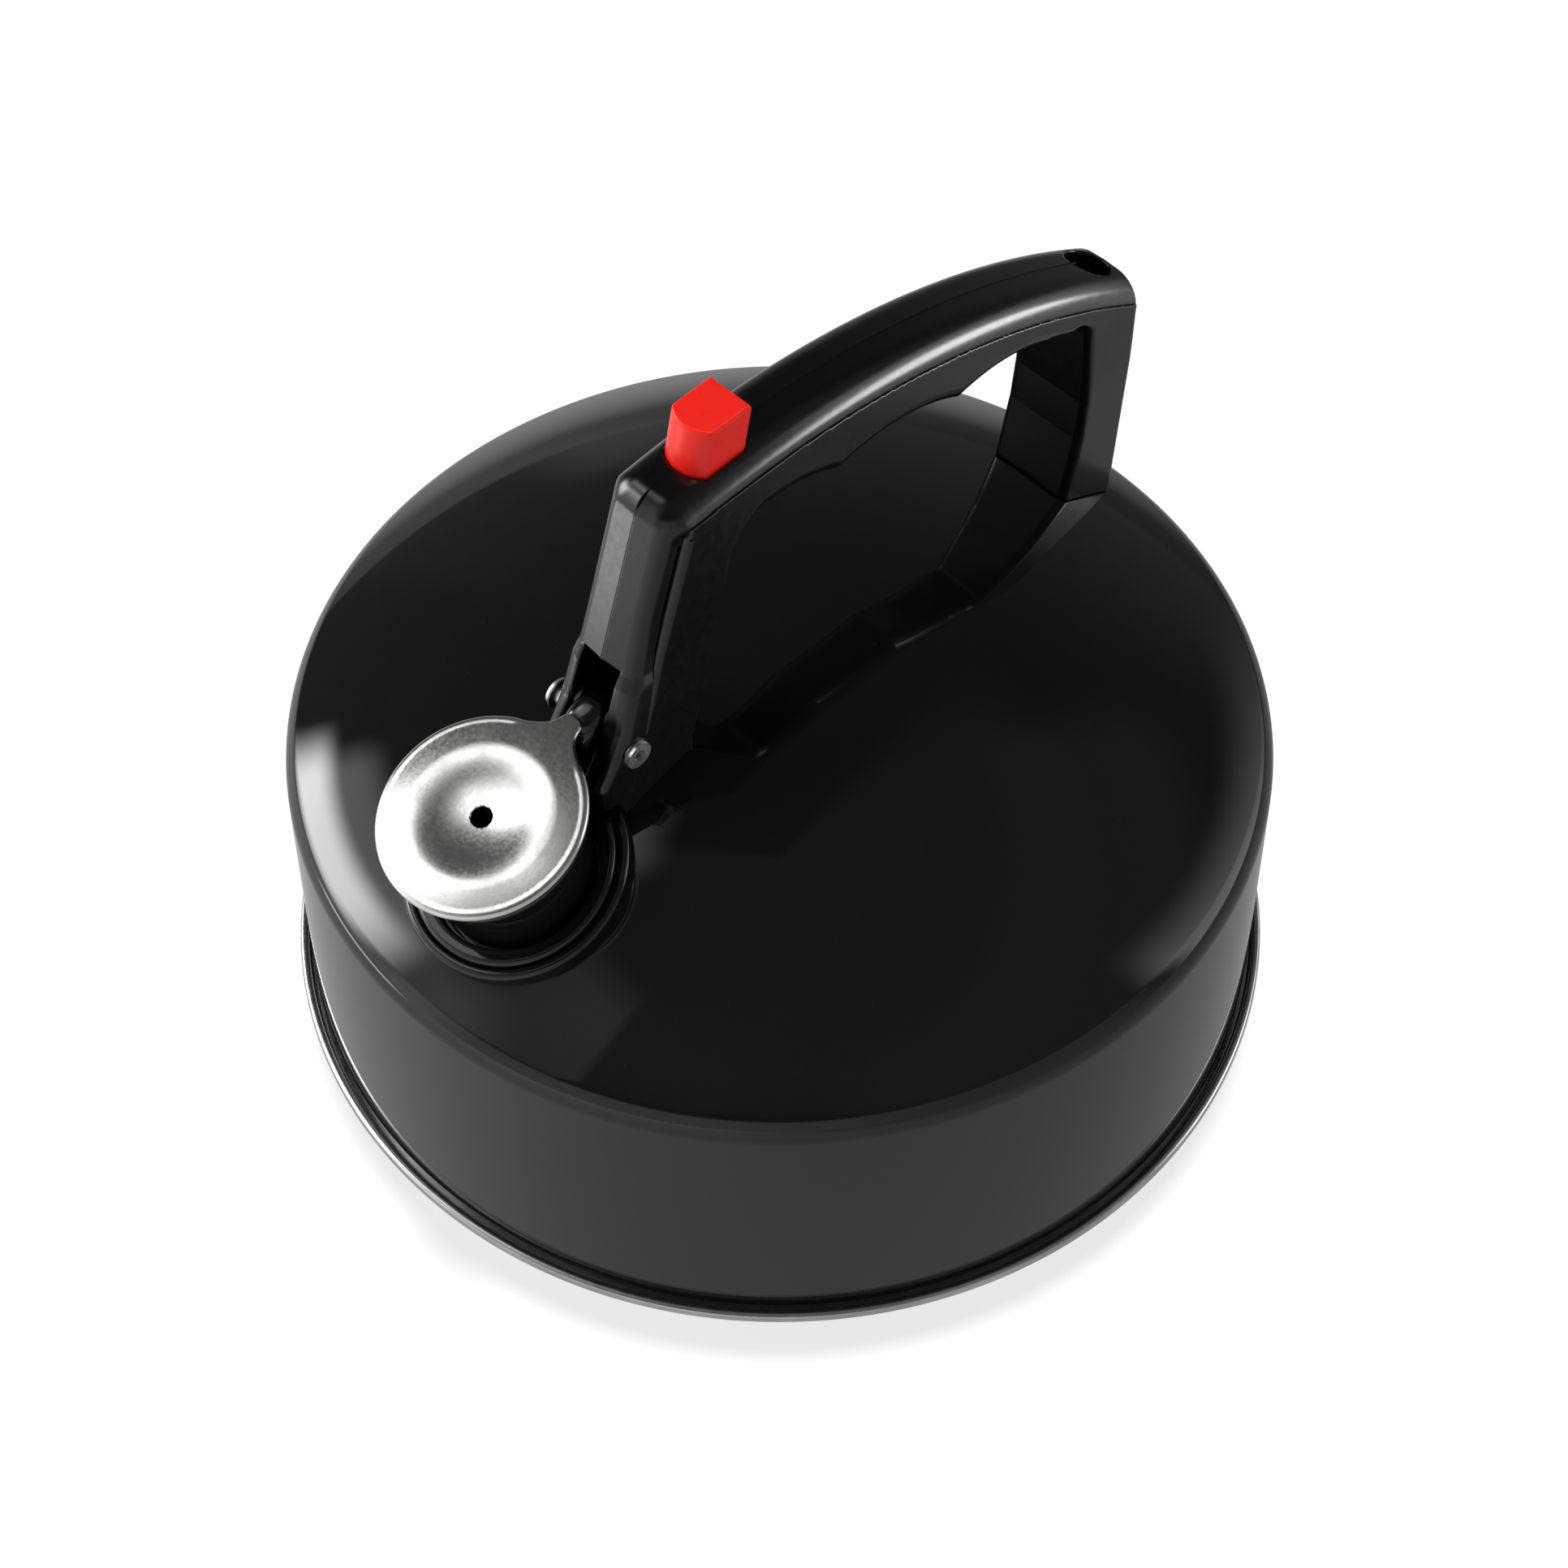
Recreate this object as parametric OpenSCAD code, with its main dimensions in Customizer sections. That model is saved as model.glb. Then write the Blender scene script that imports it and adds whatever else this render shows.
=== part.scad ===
/* [Body] */
// Outside diameter of the rolled base ring
base_d = 200; // [180:1:220]
// How far the wall stands inside the edge of the base ring
wall_in = 2.7; // [2.6:0.1:3.5]
// Height of the top edge of the straight wall
wall_top = 59; // [45:0.5:75]
// Height of the top of the dome
dome_top = 94.7; // [88:0.1:105]
// Radius of the shoulder between wall and dome
shoulder_r = 7; // [4:0.5:12]
// Thickness of the body sheet
sheet_t = 1; // [0.8:0.1:1.4]

/* [Base] */
// Height of the rolled base ring
hem_h = 2.4; // [2:0.1:3.5]
// Width of the rolled base ring
hem_w = 2.1; // [1.6:0.1:3]
// How far the pan floor is raised above the hob
pan_raise = 2; // [1:0.1:3]
// Thickness of the pan sheet
pan_t = 0.8; // [0.6:0.1:1.2]
// How far the heat spreading disc stays inside the base ring
disc_in = 13.5; // [13:0.5:25]

/* [Spout] */
// Distance of the spout foot from the wall
spout_in = 28.3; // [26:0.1:30]
// Forward tilt of the spout
spout_tilt = 18.2; // [14:0.2:22]
// Outside diameter of the spout neck
neck_d = 31.2; // [28:0.2:33]
// Height of the mouth above the spout foot
mouth_h = 21; // [18:0.2:24]
// Outside diameter of the rolled mouth
mouth_d = 38; // [36:0.2:39]
// Outside diameter of the collar at the spout foot
collar_d = 45; // [42:0.5:47]
// Forward tilt of the collar
collar_tilt = 24; // [20:0.5:26]

/* [Whistle cap] */
// Diameter of the cap
cap_d = 40.2; // [38:0.2:42]
// Height of the cap's top face above the mouth
cap_rise = 3.7; // [3.5:0.1:4.5]
// Diameter of the steam hole
steam_d = 4.2; // [3:0.1:6]
// Diameter of the dish in the middle of the cap
dish_d = 25; // [20:0.5:28]
// Depth of the dish
dish_h = 1.5; // [1:0.1:1.7]
// Thickness of the cap sheet
cap_t = 0.8; // [0.6:0.1:1]

/* [Handle] */
// Height of the top of the grip above the dome
grip_up = 61; // [57:0.5:68]
// How far the rear foot's back stays inside the wall
back_in = 7.4; // [6:0.2:12]
// Width of the grip
grip_w = 18.4; // [16:0.2:20]
// Width of the front foot and its fork
fork_w = 19.8; // [19:0.2:22]
// Radius of the arch along the top of the grip
arch_r = 193; // [185:1:200]
// Radius of the grip's top edges
grip_round = 6; // [4:0.5:7]
// Radius of the front leg's outer edges
leg_round = 3; // [2:0.2:4]
// Radius of the rear leg's back edges
back_round = 1.2; // [1:0.2:4]
// Diameter of the screw access hole
access_d = 9.4; // [9:0.1:9.8]

/* [Release button] */
// Width of the button
button_w = 10.4; // [9:0.2:11]
// Length of the button
button_l = 11.6; // [10:0.2:12]
// Lean of the button's travel from upright
push_lean = 12; // [10:0.5:14]
// Travel of the button
push_travel = 8.5; // [7:0.5:9]
// Lean of the push rod from upright
rod_lean = 15; // [14:0.2:16]
// Diameter of the push rod
rod_d = 2.4; // [2:0.1:2.6]

/* [Pivot] */
// Distance of the pivot behind the spout foot
pivot_back = 21.9; // [21.5:0.1:22.3]
// Height of the pivot above the spout foot
pivot_up = 23.5825; // [23.2:0.0025:24]
// Diameter of the pivot rivet
pivot_d = 4; // [3.6:0.1:4.4]
// Radial clearance of the pivot rivet in the lever
pivot_fit = 0.06; // [0.04:0.01:0.08]

/* [Hidden] */
$fn = 96;
eps = 0.02;
big = 400;
base_r = base_d / 2;
wall_r = base_r - wall_in;
neck_r = neck_d / 2;
mouth_r = mouth_d / 2;
collar_r = collar_d / 2;
cap_r = cap_d / 2;
disc_r = base_r - disc_in;
disc_gap = 0.3;
// dome: one arc from the middle, tangent to the shoulder
dome_a = wall_r - shoulder_r;
dome_b = dome_top - wall_top;
dome_r = (dome_a * dome_a + dome_b * dome_b - shoulder_r * shoulder_r) / (2 * (dome_b - shoulder_r));
dome_c = dome_top - dome_r;
function dome_z(x) = dome_c + sqrt(dome_r * dome_r - x * x);
// seam of wall and base
seam_gap = 0.8;
foot_in = 0.5;
foot_h = 3.3;
foot_x = wall_r - sheet_t - foot_in;
hem_r = hem_w / 2;
pan_land = 12;
pan_fold = base_r - pan_land;
through = 60;
// spout
spout_x = wall_r - spout_in;
spout_z = dome_z(spout_x);
neck_t = 1;
lip_r = 1.7;
hole_gap = 0.15;
neck_below = 5;
lip_web_h = 1.2;
// collar and lock ring
ring_w = 2.4;
ring_t = 1.2;
ring_below = 4;
bead_r = 1.2;
bead_z = 0.9;
bead_in_r = 1.6;
bead_in_z = 1.4;
inner_ring_h = 3;
collar_bore = neck_r + 0.9;
lock_w = 3.2;
lock_below = 5.6;
lock_h = 12;
collar_sink = 6;
collar_room = 4;
// pivot
pivot_x = spout_x - pivot_back;
pivot_z = spout_z + pivot_up;
// whistle cap
cap_h = mouth_h + cap_rise;
rim_r = 0.85;
plate_gap = 0.3;
plate_over = 0.4;
plate_r = mouth_r + plate_over;
plate_t = 0.8;
plate_edge_r = 0.7;
plate_boss_r = 11;
plate_boss_h = 1.2;
steam_step = 0.3;
tab_w = 5.8;
tab_t = 1;
// pivot seen in the spout's own axes
function spout_u(x, z) = (x - spout_x) * cos(spout_tilt) - (z - spout_z) * sin(spout_tilt);
function spout_h(x, z) = (x - spout_x) * sin(spout_tilt) + (z - spout_z) * cos(spout_tilt);
pivot_u = spout_u(pivot_x, pivot_z);
pivot_h = spout_h(pivot_x, pivot_z);
tab_end = pivot_u - 2.83;
// fork and lever
slot_w = 9.2;
ear_t = 1;
ear_out = 4.4;
ear_round = 4.6;
lever_w = 6.2;
tail_w = 5;
knuckle_r = 7;
nose_r = 2;
nose_a = 12.4;
nose_rise = 20;
tail_t = 3;
block_top = cap_h + 1.5;
block_back = pivot_u - 4.43;
block_front = pivot_u + 4.77;
block_bevel = 1.6;
pin_r = 1;
pin_x = pivot_u - 0.43;
pin_low = pivot_h + 3.04;
pin_head_r = 1.8;
pin_head_t = 0.5;
fit = 0.05;
washer_t = 0.35;
washer_r = 3.2;
head_t = 0.8;
head_r = 2.8;
head_hole_r = 1.3;
head_hole_h = 2;
// handle outline: the arch, then the two legs
arch_top = dome_top + grip_up;
arch_x = pivot_x - 34.1;
arch_z = arch_top - arch_r;
function arch_at(x) = arch_z + sqrt(arch_r * arch_r - (x - arch_x) * (x - arch_x));
front_x = pivot_x - 1.7;
front_z = pivot_z + 17.6;
front_lean = 17.6;
back_x = back_in - wall_r;
back_z = pivot_z + 14;
back_lean = 5.2;
// handle outline: the opening for the hand
gap_front_top = [pivot_x - 26, arch_top - 24.2];
gap_front_low = [pivot_x - 12.3, pivot_z - 21];
inner_r = 9;
inner_c = [pivot_x - 35.2, arch_top - 24.3];
wave_end = [pivot_x - 36.6, arch_top - 15.4];
wave_1 = 34;
wave_2 = 43;
wave_3 = 35;
cusp_drop = 1;
function below_arch(x, depth) = [x, arch_at(x) - depth];
cusp_1 = below_arch(pivot_x - 53.9, 19.48);
cusp_3 = below_arch(back_x + 26.9, 13.13);
cusp_2 = below_arch(0.425 * cusp_1[0] + 0.575 * cusp_3[0], 18.65);
corner_r = 4;
corner_c = below_arch(back_x + 18.3, 14.97);
gap_back_high = [back_x + 14.4, corner_c[1] - 2.2];
gap_back_mid = [back_x + 15.5, pivot_z - 10];
gap_back_low = [back_x + 19.2, pivot_z - 26];
gap_floor = wall_top + 1;
clear = 0.35;
dome_gap = 0.12;
neck_room = 1.6;
// button, well, channel
button_x = pivot_x - 35.6;
button_z = arch_top + 8.9;
button_arc = 7.2;
button_h = 13;
well_h = button_h + push_travel + 0.7;
wall_front = 3.5;
wall_rear = 2.6;
web_low = pivot_z + 16.8;
web_high = web_low + 2.6;
channel_w = 8;
channel_top = arch_top - 12.1;
channel_rear = pivot_x - 25.7;
// push rod and spring
rod_gap = 0.35;
rod_bore_gap = 1;
clip_r = 2.9;
clip_t = 0.8;
spring_wire = 0.6;
spring_r = 2.4;
spring_turns = 7;
spring_seg = 14;
spring_sides = 6;
spring_z0 = web_high + 0.45;
// rear screw
screw_x = back_x + 10.6;
screw_z = dome_z(screw_x) + 0.43;
screw_lean = 5.5;
stud_r = 4.5;
stud_h = 13;
stud_hole_r = 2.55;
stud_below = 8;
stud_floor = 1;
shank_z = 3;
cross_l = 4.4;
cross_w = 1;
cross_h = 1.4;
web_t0 = 13.4;
web_t1 = 20.6;
access_r = access_d / 2;
shank_r = 2.5;
rear_washer_t = 1;
lock_t = 1.1;
screw_head_r = 4;
screw_head_t = 2.8;
// push direction and rest point of the lever's nose
push_down = [sin(push_lean), -cos(push_lean)];
push_side = [-cos(push_lean), -sin(push_lean)];
nose_x = pivot_x + nose_a * (cos(nose_rise) * push_side[0] - sin(nose_rise) * push_down[0]);
nose_z = pivot_z + nose_a * (cos(nose_rise) * push_side[1] - sin(nose_rise) * push_down[1]);
tip_x = nose_x - (nose_r + rod_gap) * push_down[0];
tip_z = nose_z - (nose_r + rod_gap) * push_down[1];
rod_seat = 9.3;
rod_l = (button_z - rod_seat - tip_z) / cos(rod_lean);
clip_at = rod_l - 17.8;

module at_spout() {
    translate([spout_x, 0, spout_z]) rotate([0, spout_tilt, 0]) children();
}

module at_collar() {
    translate([spout_x, 0, spout_z]) rotate([0, collar_tilt, 0]) children();
}

module at_push() {
    translate([button_x, 0, button_z]) rotate([0, -push_lean, 0]) children();
}

module at_rod() {
    translate([tip_x, 0, tip_z]) rotate([0, -rod_lean, 0]) children();
}

module at_screw() {
    translate([screw_x, 0, screw_z]) rotate([0, -screw_lean, 0]) children();
}

// side view drawn in x and z, given a width along y
module side(w) {
    translate([0, w / 2, 0]) rotate([90, 0, 0]) linear_extrude(height = w) children();
}

// side view of the cap, drawn in the spout's own x and z
module cap_side(w) {
    at_spout() translate([0, w / 2, 0]) rotate([90, 0, 0]) linear_extrude(height = w) children();
}

// region under the dome and inside the wall, shrunk by o
module bell(o) {
    translate([0, foot_h - eps]) square([wall_r - o, wall_top - foot_h + eps]);
    translate([wall_r - shoulder_r, wall_top]) circle(r = shoulder_r - o);
    intersection() {
        translate([0, dome_c]) circle(r = dome_r - o, $fn = 256);
        polygon([[0, dome_c],
                 [0, dome_c + big],
                 [big * dome_a, dome_c + big * (wall_top - dome_c)]]);
    }
}

module right_half() {
    translate([0, -big]) square([big, 2 * big]);
}

module dome_solid(o) {
    translate([0, 0, dome_c]) sphere(r = dome_r + o, $fn = 256);
}

// bore along the spout, through whatever it meets
module spout_bore(r) {
    at_spout() translate([0, 0, -through / 2]) cylinder(r = r, h = through);
}

// room for the collar
module collar_space() {
    at_collar() translate([0, 0, -collar_sink])
        cylinder(r = collar_r + clear, h = collar_sink + collar_room);
}

// hole for the pivot, right through
module pivot_bore(r) {
    translate([pivot_x, 0, pivot_z]) rotate([90, 0, 0]) cylinder(r = r, h = 2 * fork_w, center = true);
}

module body_shell() color([0.03, 0.03, 0.035]) {
    difference() {
        rotate_extrude(convexity = 6) intersection() {
            right_half();
            difference() {
                union() {
                    bell(0);
                    translate([foot_x, seam_gap]) square([sheet_t, foot_h - seam_gap + eps]);
                    translate([foot_x, foot_h - eps]) square([sheet_t + foot_in, 2 * eps]);
                }
                bell(sheet_t);
            }
        }
        spout_bore(neck_r + hole_gap);
    }
}

module base_pan() color([0.78, 0.78, 0.79]) {
    rotate_extrude(convexity = 6) union() {
        translate([0, pan_raise]) square([pan_fold + pan_t, pan_t]);
        translate([pan_fold, 0]) square([pan_t, pan_raise + pan_t]);
        translate([pan_fold, 0]) square([base_r - hem_r - pan_fold, pan_t - eps]);
        translate([base_r - hem_r, hem_r]) circle(r = hem_r);
        translate([base_r - hem_r, hem_h - hem_r]) circle(r = hem_r);
        translate([base_r - hem_w, hem_r]) square([hem_w, hem_h - hem_w]);
    }
}

module heat_disc() color([0.7, 0.7, 0.71]) {
    translate([0, 0, disc_gap]) cylinder(r = disc_r, h = pan_raise - disc_gap);
}

module spout_neck() color([0.03, 0.03, 0.035]) {
    inside_r = neck_r - neck_t;
    at_spout() rotate_extrude(convexity = 6) union() {
        translate([inside_r, -neck_below]) square([neck_t, neck_below + mouth_h - lip_r]);
        translate([mouth_r - lip_r, mouth_h - lip_r]) circle(r = lip_r);
        translate([inside_r, mouth_h - 2]) square([mouth_r - lip_r - inside_r, lip_web_h]);
    }
}

module spout_collar() color([0.03, 0.03, 0.035]) {
    difference() {
        at_collar() rotate_extrude(convexity = 6) union() {
            translate([collar_bore, -ring_below])
                square([collar_r - collar_bore - bead_r, ring_below + ring_t]);
            translate([collar_r - bead_r, bead_z]) circle(r = bead_r);
            translate([collar_r - 2 * bead_r, -ring_below]) square([2 * bead_r, ring_below + bead_z]);
            translate([collar_bore, 0]) square([collar_r - collar_bore - ring_w - bead_in_r, inner_ring_h]);
            translate([collar_r - ring_w - bead_in_r, bead_in_z]) circle(r = bead_in_r);
        }
        dome_solid(fit);
        spout_bore(neck_r + fit);
    }
}

module neck_lock_ring() color([0.6, 0.6, 0.62]) {
    difference() {
        intersection() {
            at_collar() translate([0, 0, -lock_below]) cylinder(r = neck_r + lock_w, h = lock_h);
            dome_solid(-sheet_t - fit);
        }
        spout_bore(neck_r + fit);
    }
}

// fore and aft limits of the handle, with rounded outer edges
module edge_block(w, r, back) {
    m = back ? 1 : -1;
    union() {
        translate([back ? r : -big, -w / 2]) square([big - r, w]);
        translate([back ? 0 : -r, -w / 2 + r]) square([r, w - 2 * r]);
        translate([m * r, w / 2 - r]) circle(r = r);
        translate([m * r, -w / 2 + r]) circle(r = r);
    }
}

module arch_block(w) {
    inside_r = 40;
    edge_r = arch_r - grip_round;
    translate([arch_x, 0, arch_z]) rotate([90, 0, 0]) rotate_extrude(convexity = 4, $fn = 256) union() {
        translate([inside_r, -w / 2]) square([edge_r - inside_r, w]);
        translate([inside_r, -w / 2 + grip_round]) square([arch_r - inside_r, w - 2 * grip_round]);
        translate([edge_r, w / 2 - grip_round]) circle(r = grip_round);
        translate([edge_r, -w / 2 + grip_round]) circle(r = grip_round);
    }
}

// round hollow for the fingers, through two points and kept between two distances
module wave(a, b, r) {
    half = norm(b - a) / 2;
    mid = (a + b) / 2;
    n = [-(b - a)[1], (b - a)[0]] / norm(b - a);
    c = mid + n * sqrt(r * r - half * half);
    intersection() {
        side(2 * grip_w) translate(c) circle(r = r);
        translate([b[0] - cusp_drop, -grip_w, gap_floor]) cube([a[0] - b[0] + cusp_drop, 2 * grip_w, big]);
    }
}

// opening for the hand, wider than the handle
module hand_gap() {
    side(2 * grip_w) polygon([inner_c + [-1, inner_r - 1.2],
                              cusp_1 - [0, cusp_drop],
                              cusp_2 - [0, cusp_drop],
                              cusp_3 - [0, cusp_drop / 2],
                              corner_c + [0, corner_r - 1],
                              [gap_back_high[0], corner_c[1]],
                              gap_back_high,
                              gap_back_mid,
                              gap_back_low,
                              [gap_back_low[0], gap_floor - 10],
                              [gap_front_low[0] + 6, gap_floor - 10],
                              gap_front_low,
                              gap_front_top]);
    side(2 * grip_w) translate(inner_c) circle(r = inner_r);
    side(2 * grip_w) translate(corner_c) circle(r = corner_r);
    wave(wave_end, cusp_1, wave_1);
    wave(cusp_1, cusp_2, wave_2);
    wave(cusp_2, cusp_3, wave_3);
}

foot_top = pivot_z + 13;
foot_low = pivot_z - 23;
function front_at(z) = front_x + (front_z - z) * tan(front_lean);
function rear_at(z) = gap_front_top[0] + (gap_front_top[1] - z) * (gap_front_low[0] - gap_front_top[0])
    / (gap_front_top[1] - gap_front_low[1]);

module handle_outer() {
    intersection() {
        difference() {
            translate([-big / 2, -grip_w / 2, gap_floor]) cube([big, grip_w, big]);
            hand_gap();
        }
        arch_block(grip_w);
        translate([front_x, 0, front_z]) rotate([0, -front_lean, 0])
            translate([0, 0, -big / 2]) linear_extrude(height = big) edge_block(grip_w, leg_round, false);
        translate([back_x, 0, back_z]) rotate([0, -back_lean, 0])
            translate([0, 0, -big / 2]) linear_extrude(height = big) edge_block(grip_w, back_round, true);
    }
    side(fork_w) polygon([[rear_at(foot_top - 5), foot_top - 5],
                          [rear_at(foot_low + 2), foot_low],
                          [pivot_x + 7.2, foot_low],
                          [pivot_x + 8.5, pivot_z - 4],
                          [pivot_x + 5.7, pivot_z + 0.9],
                          [pivot_x + 2.2, pivot_z + 6],
                          [pivot_x + 0.5, foot_top - 2],
                          [rear_at(foot_top) + 6, foot_top]]);
}

module push_profile(o) {
    intersection() {
        translate([-o, -button_w / 2 - o]) square([button_l + 2 * o, button_w + 2 * o]);
        translate([button_l - button_arc, 0]) circle(r = button_arc + o);
    }
}

module handle() color([0.04, 0.04, 0.045]) {
    difference() {
        handle_outer();
        dome_solid(dome_gap);
        collar_space();
        at_spout() cylinder(r = neck_r + neck_room, h = mouth_h + collar_room);
        // well for the button
        at_push() translate([0, 0, -well_h]) linear_extrude(height = well_h + 20) push_profile(clear);
        // channel for the rod and its spring, above the spring seat
        side(channel_w) polygon([[rear_at(web_high) + wall_rear, web_high],
                                 [front_at(web_high) - wall_front, web_high],
                                 [front_at(channel_top) - wall_front - 3, channel_top],
                                 [channel_rear, channel_top], [channel_rear, channel_top - 5.6],
                                 [rear_at(channel_top - 12.6) + wall_rear, channel_top - 12.6]]);
        at_rod() cylinder(r = rod_d / 2 + rod_bore_gap, h = rod_l);
        // fork, open to the front
        side(slot_w) polygon([[rear_at(web_low) + wall_rear, web_low],
                              [spout_x, web_low],
                              [spout_x, gap_floor],
                              [rear_at(gap_floor) + wall_rear, gap_floor]]);
        pivot_bore(pivot_d / 2 + fit);
        // rear foot: recess for the stud, screw hole and access hole
        at_screw() translate([0, 0, -web_t0]) cylinder(r = stud_r + clear, h = 2 * web_t0);
        at_screw() cylinder(r = shank_r + 0.2, h = web_t1 + 5);
        at_screw() translate([0, 0, web_t1]) cylinder(r = access_r, h = through);
    }
}

ear_back_run = 9.1;
ear_front_run = 3.3;
ear_top_run = 5.5;
ear_up = 2.6;
ear_bevel = 3;
ear_rear = pivot_x - ear_back_run;
ear_front = pivot_x + ear_front_run;
bracket_t = 1.2;

module front_bracket() color([0.05, 0.05, 0.055]) {
    difference() {
        union() {
            for (s = [-1, 1])
                translate([0, s * (ear_out - ear_t / 2), 0]) side(ear_t) union() {
                    translate([ear_front - ear_top_run, pivot_z + ear_up]) circle(r = ear_round);
                    polygon([[ear_rear, foot_low],
                             [ear_front, foot_low],
                             [ear_front, pivot_z],
                             [ear_front - ear_bevel / 3, pivot_z + ear_bevel],
                             [ear_rear + 0.8 * ear_bevel, pivot_z + ear_bevel]]);
                }
            translate([ear_rear, -ear_out, foot_low])
                cube([ear_front - ear_rear, 2 * ear_out, dome_z(ear_rear) + bracket_t - foot_low]);
        }
        dome_solid(fit);
        collar_space();
        pivot_bore(pivot_d / 2 + fit);
    }
}

module pivot_rivet() color([0.8, 0.8, 0.81]) {
    half = fork_w / 2 + washer_t + fit;
    translate([pivot_x, 0, pivot_z]) rotate([90, 0, 0]) difference() {
        union() {
            cylinder(r = pivot_d / 2, h = 2 * half, center = true);
            for (s = [-1, 1])
                translate([0, 0, s * (half + head_t / 2)])
                    cylinder(r = head_r, h = head_t + eps, center = true);
        }
        for (s = [-1, 1])
            translate([0, 0, s * (half + head_t)])
                cylinder(r = head_hole_r, h = 2 * head_hole_h, center = true);
    }
}

module rivet_washer(s) {
    difference() {
        translate([pivot_x, s * (fork_w / 2 + fit / 2 + washer_t / 2), pivot_z]) rotate([90, 0, 0])
            cylinder(r = washer_r, h = washer_t, center = true);
        pivot_bore(pivot_d / 2 + fit);
    }
}

module rivet_washer_left() color([0.2, 0.2, 0.21]) rivet_washer(-1);

module rivet_washer_right() color([0.2, 0.2, 0.21]) rivet_washer(1);

module rear_stud() color([0.6, 0.6, 0.62]) {
    difference() {
        at_screw() translate([0, 0, -stud_below]) cylinder(r = stud_r, h = stud_h + stud_below);
        at_screw() translate([0, 0, stud_floor]) cylinder(r = stud_hole_r, h = stud_h);
        dome_solid(fit);
    }
}

module rear_screw() color([0.75, 0.75, 0.76]) {
    head_0 = web_t1 + rear_washer_t + lock_t + 3 * fit;
    at_screw() difference() {
        union() {
            translate([0, 0, shank_z]) cylinder(r = shank_r, h = head_0 - shank_z + eps);
            translate([0, 0, head_0]) cylinder(r = screw_head_r, h = screw_head_t);
        }
        for (a = [0, 90])
            rotate([0, 0, a]) translate([-cross_l / 2, -cross_w / 2, head_0 + screw_head_t - cross_h])
                cube([cross_l, cross_w, 2 * cross_h]);
    }
}

module ring_washer(r0, r1, z0, t) {
    at_screw() translate([0, 0, z0]) difference() {
        cylinder(r = r1, h = t);
        translate([0, 0, -1]) cylinder(r = r0, h = t + 2);
    }
}

module rear_washer() color([0.7, 0.7, 0.71]) {
    ring_washer(shank_r + fit, access_r - 0.2, web_t1 + fit, rear_washer_t);
}

module rear_lock_washer() color([0.5, 0.5, 0.51]) {
    difference() {
        ring_washer(shank_r + fit, access_r - 0.5, web_t1 + rear_washer_t + 2 * fit, lock_t);
        at_screw() translate([0, -0.3, web_t1]) cube([10, 0.6, 6]);
    }
}

module button() color([0.75, 0.02, 0.02]) {
    difference() {
        intersection() {
            at_push() translate([0, 0, -button_h]) linear_extrude(height = button_h + 10) push_profile(0);
            translate([-20, -20, button_z - 40]) cube([80, 40, 40]);
        }
        at_rod() cylinder(r = rod_d / 2 + fit, h = rod_l + fit);
    }
}

module push_rod() color([0.75, 0.75, 0.76]) {
    at_rod() cylinder(r = rod_d / 2, h = rod_l);
}

module rod_clip() color([0.3, 0.3, 0.31]) {
    at_rod() translate([0, 0, clip_at]) difference() {
        cylinder(r = clip_r, h = clip_t);
        translate([0, 0, -1]) cylinder(r = rod_d / 2 + fit, h = clip_t + 2);
    }
}

// coil swept as rings of points; each ring stands across the wire
function coil_c(i, n, h) = let (a = 360 * spring_turns * i / n)
    [spring_r * cos(a), spring_r * sin(a), spring_wire / 2 + (h - spring_wire) * i / n];
function coil_p(i, n, h, k) = let (a = 360 * spring_turns * i / n, b = 360 * k / spring_sides)
    coil_c(i, n, h) + spring_wire / 2 * [cos(a) * cos(b), sin(a) * cos(b), sin(b)];

module button_spring() color([0.7, 0.7, 0.72]) {
    n = spring_turns * spring_seg;
    m = spring_sides;
    low = (spring_z0 - tip_z) / cos(rod_lean) + 0.35;
    h = clip_at - low - 0.15;
    at_rod() translate([0, 0, low]) polyhedron(
        points = [for (i = [0 : n]) for (k = [0 : m - 1]) coil_p(i, n, h, k)],
        faces = concat(
            [[for (k = [0 : m - 1]) k]],
            [for (i = [0 : n - 1]) for (k = [0 : m - 1])
                [i * m + k, (i + 1) * m + k, (i + 1) * m + (k + 1) % m, i * m + (k + 1) % m]],
            [[for (k = [m - 1 : -1 : 0]) n * m + k]]),
        convexity = 10);
}

module cap_lever() color([0.04, 0.04, 0.045]) {
    tail_turn = atan2(nose_z - pivot_z, nose_x - pivot_x);
    difference() {
        union() {
            translate([pivot_x, 0, pivot_z]) rotate([90, 0, 0])
                cylinder(r = knuckle_r, h = lever_w, center = true);
            cap_side(lever_w) polygon([[block_back, pivot_h + 5.4],
                                       [block_back, block_top - block_bevel],
                                       [block_back + block_bevel, block_top],
                                       [block_front - block_bevel, block_top],
                                       [block_front, block_top - block_bevel],
                                       [block_front + 0.4, pivot_h + 3],
                                       [pivot_u + 4, pivot_h - 4]]);
            side(tail_w) translate([pivot_x, pivot_z]) rotate(tail_turn)
                translate([0, -tail_t / 2]) square([nose_a, tail_t]);
            translate([nose_x, 0, nose_z]) rotate([90, 0, 0])
                cylinder(r = nose_r, h = tail_w, center = true);
        }
        pivot_bore(pivot_d / 2 + pivot_fit);
        at_spout() translate([tab_end - fit, -tab_w / 2 - fit, cap_h - tab_t - fit])
            cube([30, tab_w + 2 * fit, tab_t + 2 * fit]);
        at_spout() translate([pin_x, 0, pin_low]) cylinder(r = pin_r + fit, h = 20);
    }
}

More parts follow.
